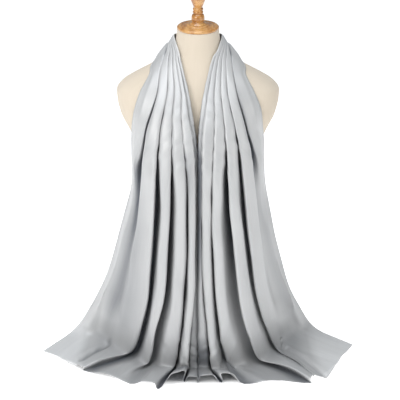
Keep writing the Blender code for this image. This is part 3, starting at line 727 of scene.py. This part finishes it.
def guideRows(side):
    rows = []
    for degrees, heights, gaps in scarfGuides["neck"]:
        places = zip(perGuide(heights), np.radians(perGuide(degrees)), perGuide(gaps))
        rows.append([formPoint(h, angle, gap) for h, angle, gap in places])
    for heights, sides in side["chest"]:
        rows.append([np.array([s, -formFront(s, h, scarfGuides["chestGap"]), h])
                     for h, s in zip(perGuide(heights), sides)])
    for height, sides, fronts in side["hanging"]:
        rows.append([np.array([s, -f, height]) for s, f in zip(sides, fronts)])
    for sides, fronts in side["floor"]:
        rows.append([np.array([s, -f, scarfGuides["floorGap"]]) for s, f in zip(sides, fronts)])
    guides = np.array(rows)
    guides[:, :, 0] *= side["sign"]
    return guides


def foldControls(start, end, direction, press, opens, gentle, depth, outerShade=0.0, innerShade=0.0):
    # a flat crest whose inner edge hangs over the valley and whose outer flank is softer
    chord = end - start
    deepness = min(2.0 * depth / np.linalg.norm(chord), 1.0) * press
    outerCorner = gentle[0] + (foldShape["overhang"] + opens[0] - gentle[0]) * deepness
    innerCorner = gentle[1] + (opens[1] - foldShape["overhang"] - gentle[1]) * deepness
    outerFlank, innerFlank = (foldShape["flankShare"] * max(corner, foldShape["narrowest"])
                              for corner in (outerCorner, innerCorner))
    profile = (
        (0.0, 0.0),
        (outerFlank, foldShape["flankHeight"]),
        (outerCorner, foldShape["cornerHeight"]),
        (outerCorner + foldShape["crestInset"], 1.0),
        (1.0 - innerCorner - foldShape["crestInset"], 1.0),
        (1.0 - innerCorner, foldShape["cornerHeight"]),
        (1.0 - innerFlank, foldShape["flankHeight"]),
    )
    # a fourth value is the painted shade of the cloth down in the valleys
    shades = [outerShade if share < 0.5 else innerShade for share, height in profile]
    return [np.append(start + share * chord + height * depth * direction, shade * (1.0 - height))
            for shade, (share, height) in zip(shades, profile)]


def foldDepth(start, end, direction, press, opens, gentle, cloth):
    # how far a crest stands from its chord, so that the fold holds its cloth
    chordLength = np.linalg.norm(end - start)
    shallow, deep = 0.0, cloth
    for _ in range(foldShape["halvings"]):
        depth = 0.5 * (shallow + deep)
        outline = np.array(foldControls(start, end, direction, press, opens, gentle, depth))[:, :3]
        length = np.linalg.norm(np.diff(np.vstack([outline, end]), axis=0), axis=1).sum()
        if length - foldShape["roundedOff"] * (length - chordLength) < cloth:
            shallow = depth
        else:
            deep = depth
    return depth


def sectionControls(side, guides, position):
    across = np.array([-1.0, 1.0, 1.0])
    step = foldShape["rowStep"]
    points = rowCurve(guides, position, across)
    ahead = rowCurve(guides, min(position + step, len(guides) - 1.0), across)
    behind = rowCurve(guides, abs(position - step), across)
    if position < step:
        behind = behind * across
    along = ahead - behind
    lean, press, frontShare = rowCurve(np.array(foldShape["rows"]), position)
    cloth = smoothLookup(side["cloth"], position)
    name = "left" if side["sign"] < 0.0 else "right"
    valleys = smoothLookup(openValleys[name], position)
    shades = [0.0, *smoothLookup(valleyShade[name], position)]
    secondFold = smoothLookup(foldShape["secondFold"], position)[0]
    outerOpen = [foldShape["flapCorner"], -secondFold, *valleys[1:]]
    innerOpen = [valleys[0], 0.0, 0.0, 0.0, 0.0, 0.0]
    chords = np.diff(points, axis=0)
    last = len(points) - 1
    wideChords = np.array([points[min(fold + 2, last)] - points[max(fold - 1, 0)]
                           for fold in range(last)])
    normals = np.cross(wideChords, 0.5 * (along[:-1] + along[1:])) * side["sign"]
    normals /= np.linalg.norm(normals, axis=1)[:, None]
    softEdge = foldShape["gentleCorner"]
    flapEdge = smoothLookup(foldShape["flapEdge"], position)[0]
    gentle = [(softEdge, flapEdge)] + [(softEdge, softEdge)] * (last - 1)
    flapFront = smoothLookup(foldShape["flapFront"], position)[0]
    normals += np.outer([flapFront] + [frontShare] * (last - 1), (0.0, -1.0, 0.0))
    normals /= np.linalg.norm(normals, axis=1)[:, None]
    controls = []
    for fold, chord in enumerate(chords):
        start, end = points[fold], points[fold + 1]
        foldLean = math.radians(lean * foldShape["leanShares"][fold])
        outward = -chord / np.linalg.norm(chord)
        direction = math.cos(foldLean) * normals[fold] + math.sin(foldLean) * outward
        shape = (start, end, direction, press, (outerOpen[fold], innerOpen[fold]), gentle[fold])
        controls += foldControls(*shape, foldDepth(*shape, cloth[fold]), shades[fold], shades[fold + 1])
    # painted shade laid over the controls: within some folds, lower down, and where the sides meet
    perFold = foldShape["controls"]
    for label, fold, first, final, rows in foldPaintedShades:
        if label == name:
            tone = smoothLookup(rows, position)[0]
            for control in controls[fold * perFold + first:fold * perFold + final + 1]:
                control[3] = max(control[3], tone)
    lowPaintedShade = smoothLookup(foldShape["lowPaintedShade"], position)[0]
    for control in controls[perFold:]:
        control[3] = max(control[3], lowPaintedShade)
    for control, share in zip(reversed(controls), foldShape["meetingPaintedShades"]):
        control[3] = max(control[3], share * shades[-1])
    controls.append(np.append(points[-1], shades[-1]))
    return np.array(controls)


def sectionPoints(controls):
    # cubic B-spline over the controls that passes through the guides
    knots = controls.copy()
    for guide in range(foldShape["controls"], len(controls) - 1, foldShape["controls"]):
        knots[guide] = (6.0 * controls[guide] - controls[guide - 1] - controls[guide + 1]) / 4.0
    knots = np.vstack([2.0 * knots[0] - knots[1], knots, 2.0 * knots[-1] - knots[-2]])
    points = []
    for span in range(len(controls) - 1):
        steps = foldShape["spanSteps"][span % foldShape["controls"]]
        a, b, c, d = knots[span:span + 4]
        for step in range(steps):
            u = step / steps
            points.append(((1.0 - u) ** 3 * a + (3.0 * u ** 3 - 6.0 * u ** 2 + 4.0) * b
                           + (-3.0 * u ** 3 + 3.0 * u ** 2 + 3.0 * u + 1.0) * c + u ** 3 * d) / 6.0)
    points.append(controls[-1])
    return np.array(points)


def sideSections(side, positions):
    guides = guideRows(side)
    sections = []
    for position in positions:
        points = sectionPoints(sectionControls(side, guides, position))
        if position < scarfGuides["clearRow"]:
            points[:, :3] = [clearOfForm(point, scarfGuides["clearGap"]) for point in points[:, :3]]
        points[:, 2] = np.maximum(points[:, 2], scarfGuides["floorGap"])
        sections.append(points)
    return np.array(sections)


def surfaceNormals(points):
    across = np.gradient(points, axis=1)
    along = np.gradient(points, axis=0)
    normals = np.cross(along, across)
    return normals / np.maximum(np.linalg.norm(normals, axis=2), 1e-9)[:, :, None]


def settleOnFloor(points, first):
    # the cloth's own stiffness rounds the bend where it meets the floor
    for _ in range(clothSheet["bendRounds"]):
        middle = points[first:-1]
        points[first:-1] = 0.5 * middle + 0.25 * (points[first - 1:-2] + points[first + 1:])
    # and its outer columns run out softly, evened out across the cloth too
    wide, start = clothSheet["troughColumns"], first - clothSheet["troughLead"]
    share = np.clip((np.arange(start, len(points) - 1) - start) / clothSheet["troughRise"], 0.0, 1.0)
    share = share[:, None, None]
    fade = np.clip((wide - np.arange(1, wide)) / clothSheet["troughFade"], 0.0, 1.0)[None, :, None]
    for _ in range(clothSheet["troughRounds"]):
        middle = points[start:-1, 1:wide, :3]
        outer, inner = points[start:-1, :wide - 1, :3], points[start:-1, 2:wide + 1, :3]
        evened = 0.5 * middle + 0.25 * (outer + inner)
        points[start:-1, 1:wide, :3] = middle + share * fade * (evened - middle)
    return points


def besideLine(place, corners, facing):
    # how far each place is beside a line through corners, counted towards its left where
    # facing is 1 and its right where it is -1, with the line's height and that way beside it
    nearest = np.full(place.shape[:-1], 1e9)
    aside, height = np.zeros(nearest.shape), np.zeros(nearest.shape)
    way = np.zeros(place.shape)
    for start, end in zip(corners[:-1], corners[1:]):
        run = end[:2] - start[:2]
        length = np.linalg.norm(run)
        run = run / length
        t = np.clip(((place - start[:2]) @ run) / length, 0.0, 1.0)
        away = place - (start[:2] + t[..., None] * length * run)
        distance = np.linalg.norm(away, axis=-1)
        beside = np.array([-run[1], run[0]]) * facing
        closer = distance < nearest
        nearest = np.where(closer, distance, nearest)
        aside = np.where(closer, distance * np.sign(away @ beside + 1e-9), aside)
        height = np.where(closer, start[2] + t * (end[2] - start[2]), height)
        way = np.where(closer[..., None], beside, way)
    return aside, height, way


def creaseFloor(points):
    # ridges in the cloth on the floor, each with a drop on one side, then hollows, with painted
    # shade beneath them, then painted shade and light for how much light comes down there
    place, height = points[..., :2].copy(), points[..., 2].copy()
    hold = np.exp(-(height / clothSheet["nearFloor"]) ** 2)
    for farWidth, nearWidth, undercut, shade, corners in floorCreases:
        corners = np.array([(toSide, -toFront, rise) for toSide, toFront, rise in corners])
        aside, ridge, way = besideLine(place, corners, -1.0)
        share = np.clip(aside / nearWidth, 0.0, 1.0)
        nearSide = 1.0 - share * share * (3.0 - 2.0 * share)
        lift = ridge * np.where(aside < 0.0, np.exp(-(aside / farWidth) ** 2), nearSide) * hold
        height = np.maximum(height, np.sqrt((clothSheet["keptHeight"] * height) ** 2 + lift ** 2))
        beneath = np.clip(aside / (clothSheet["undercutReach"] * nearWidth), 0.0, 1.0)
        under = np.sin(np.pi * beneath) ** 2
        taper = np.clip(ridge / clothSheet["fullRidge"], 0.0, 1.0) ** 1.5
        points[..., :2] -= way * (undercut * taper * under * hold)[..., None]
        # painted shade beneath the ridge
        points[..., 3] = np.maximum(points[..., 3], shade * np.sqrt(taper) * under * hold)
    for rightWidth, leftWidth, depth, shade, corners in floorHollows:
        corners = np.array([(toSide, -toFront, 0.0) for toSide, toFront in corners])
        aside = besideLine(place, corners, 1.0)[0]
        reach = np.exp(-(aside / np.where(aside < 0.0, rightWidth, leftWidth)) ** 2) * hold
        height = np.maximum(height - depth * reach, scarfGuides["floorGap"])
        # painted shade in the hollow
        points[..., 3] = np.maximum(points[..., 3], shade * reach ** 2)
    points[..., 2] = height
    # painted shade on the cloth that lies low in front
    toSide = np.abs(points[..., 0])
    end, fade = clothSheet["shadeEnd"]
    inFront = np.clip((end - toSide) / fade, 0.0, 1.0)
    onFloor = clothSheet["floorShade"] * np.exp(-(height / clothSheet["shadeHeight"]) ** 2) * inFront
    points[..., 3] = np.maximum(points[..., 3], onFloor)
    # painted light: the cloth lying low at the sides is made lighter
    start, rise = clothSheet["glowStart"]
    outside = np.clip((toSide - start) / rise, 0.0, 1.0)
    glow = clothSheet["floorGlow"] * np.exp(-(height / clothSheet["glowHeight"]) ** 2)
    points[..., 3] -= glow * outside
    return points


def buildScarf(material):
    hemRow = len(foldShape["rows"]) - 1.0
    nearHem = clothSheet["hemRows"]
    bend = clothSheet["contactFrom"]
    positions = np.concatenate([np.linspace(0.0, bend, clothSheet["hangingRows"], endpoint=False),
                                np.linspace(bend, hemRow - nearHem[0], clothSheet["floorRows"]),
                                [hemRow - back for back in nearHem[1:]], [hemRow]])
    contact = clothSheet["hangingRows"]
    left, right = (creaseFloor(settleOnFloor(sideSections(scarfGuides[name], positions), contact))
                   for name in ("left", "right"))
    points = np.concatenate([left[::-1], right[1:]])
    points, paintedShading = points[..., :3], np.clip(points[..., 3], -1.0, 1.0)
    acrossSteps = np.linalg.norm(np.diff(points, axis=1), axis=2)
    alongSteps = np.linalg.norm(np.diff(points, axis=0), axis=2).mean(axis=1)
    u = np.zeros(points.shape[:2])
    u[:, 1:] = np.cumsum(acrossSteps, axis=1)
    v = np.concatenate([[0.0], np.cumsum(alongSteps)])[:, None] * np.ones((1, points.shape[1]))
    hemDistance = np.minimum(np.minimum(u, u[:, -1:] - u), np.minimum(v, v[-1:] - v))
    normals = surfaceNormals(points)
    lift = np.zeros(points.shape[:2])
    for waveAcross, waveAlong, height, phase in clothSheet["ripples"]:
        lift += height * np.sin(2.0 * math.pi * (u * mm / waveAcross + v * mm / waveAlong) + phase)
    full, calm = clothSheet["rippleRise"]
    fromGather = np.clip(np.abs(v - 0.5 * v[-1:]) / full - calm, 0.0, 1.0)
    points = points + normals * (lift * fromGather)[:, :, None]
    points[:, :, 2] = np.maximum(points[:, :, 2], scarfGuides["floorGap"])
    mesh = gridMesh("satinScarf", points * mm, uv=np.stack([u, v], axis=-1) * mm)
    for label, values in (("hemDistance", hemDistance * mm), ("paintedFoldShading", paintedShading)):
        mark = mesh.attributes.new(label, "FLOAT", "POINT")
        mark.data.foreach_set("value", values.astype(np.float32).ravel())
    piece = addPiece("satinScarf", mesh, material)
    wall = piece.modifiers.new("cloth wall", "SOLIDIFY")
    wall.thickness = clothSheet["wall"]
    wall.offset = 0.0
    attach(piece, "root")
    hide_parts("scarf_neck", "scarf_front_left", "scarf_front_right")
    return piece


studio = {
    "cameraPlace": (0.0, -2.25, 1.20),
    "cameraAim": (0.0, 0.0, 0.335),
    "lens": 99.0,
    "sensor": 36.0,
    "shift": 0.005,
    "floorSize": 30.0,
    "floorColour": (0.93, 0.93, 0.93, 1.0),
    "floorGlow": 0.8,
    "coveredPlace": (0.0, -0.08, 0.0),    # the floor doesn't glow under the cloth, and glows less round its hem: painted shade
    "coveredSize": (0.33, 0.14, 1.0),
    "coveredEdge": 0.86,
    "lamps": (
        # name, place, aim, size, power, colour
        ("keyLamp", (-1.5, -1.75, 1.55), (0.0, -0.1, 0.5), 1.2, 18.5, (1.0, 0.985, 0.965)),
        ("fillLamp", (2.1, -1.7, 1.15), (0.0, -0.1, 0.35), 1.2, 8.0, (1.0, 0.97, 0.92)),
        ("topLamp", (-0.3, -0.6, 2.8), (0.0, -0.1, 0.3), 2.2, 44.0, (0.93, 0.965, 1.0)),
    ),
    "airColour": (0.90, 0.95, 1.0, 1.0),
    "air": 0.28,                       # strength of the pale surroundings
}


def aimAt(thing, target):
    direction = Vector(target) - thing.location
    thing.rotation_euler = direction.to_track_quat("-Z", "Y").to_euler()


def buildStudio():
    cameraData = bpy.data.cameras.new("photoCamera")
    cameraData.lens = studio["lens"]
    cameraData.sensor_width = studio["sensor"]
    cameraData.shift_x = studio["shift"]
    camera = bpy.data.objects.new("photoCamera", cameraData)
    camera.location = studio["cameraPlace"]
    aimAt(camera, studio["cameraAim"])
    bpy.context.scene.collection.objects.link(camera)
    bpy.context.scene.camera = camera
    for name, place, target, size, power, colour in studio["lamps"]:
        lampData = bpy.data.lights.new(name, "AREA")
        lampData.shape = "DISK"
        lampData.size = size
        lampData.energy = power
        lampData.color = colour
        lamp = bpy.data.objects.new(name, lampData)
        lamp.location = place
        aimAt(lamp, target)
        bpy.context.scene.collection.objects.link(lamp)
    bpy.context.scene.view_settings.view_transform = "Standard"
    world = bpy.data.worlds.new("studioAir")
    bpy.context.scene.world = world
    world.use_nodes = True
    air = world.node_tree.nodes["Background"]
    air.inputs["Color"].default_value = studio["airColour"]
    air.inputs["Strength"].default_value = studio["air"]
    half = studio["floorSize"] / 2.0
    mesh = bpy.data.meshes.new("floor")
    mesh.from_pydata([(-half, -half, 0.0), (half, -half, 0.0), (half, half, 0.0), (-half, half, 0.0)],
                     [], [(0, 1, 2, 3)])
    material, tree, shader = newMaterial("paleFloor", 0.9)
    shader.inputs["Base Color"].default_value = studio["floorColour"]
    shader.inputs["Emission Strength"].default_value = studio["floorGlow"]
    place = tree.nodes.new("ShaderNodeTexCoord")
    fit = tree.nodes.new("ShaderNodeMapping")
    fit.vector_type = "TEXTURE"
    fit.inputs["Location"].default_value = studio["coveredPlace"]
    fit.inputs["Scale"].default_value = studio["coveredSize"]
    tree.links.new(place.outputs["Object"], fit.inputs["Vector"])
    away = tree.nodes.new("ShaderNodeVectorMath")
    away.operation = "LENGTH"
    tree.links.new(fit.outputs[0], away.inputs[0])
    # under the cloth the floor shows only lamp light and the cloth's real shadow; the soft ramp to full
    # glow round the hem is painted shade
    dark, bright = (0.0, 0.0, 0.0), (1.0, 1.0, 1.0)
    glow = toneRamp(tree, away.outputs["Value"], ((studio["coveredEdge"], dark), (1.0, bright)))
    tree.links.new(glow, shader.inputs["Emission Color"])
    floor = addPiece("floor", mesh, material)


buildStudio()
print("camera, light and floor")
buildForm(jerseyMaterial())
print("dress form")
wood = woodMaterial()
buildTurned("neckCap", turnedWood["cap"], wood, "neck_cap")
buildTurned("neckFinial", turnedWood["finial"], wood, "neck_finial")
print("turned wood")
buildScarf(satinMaterial())
print("scarf")
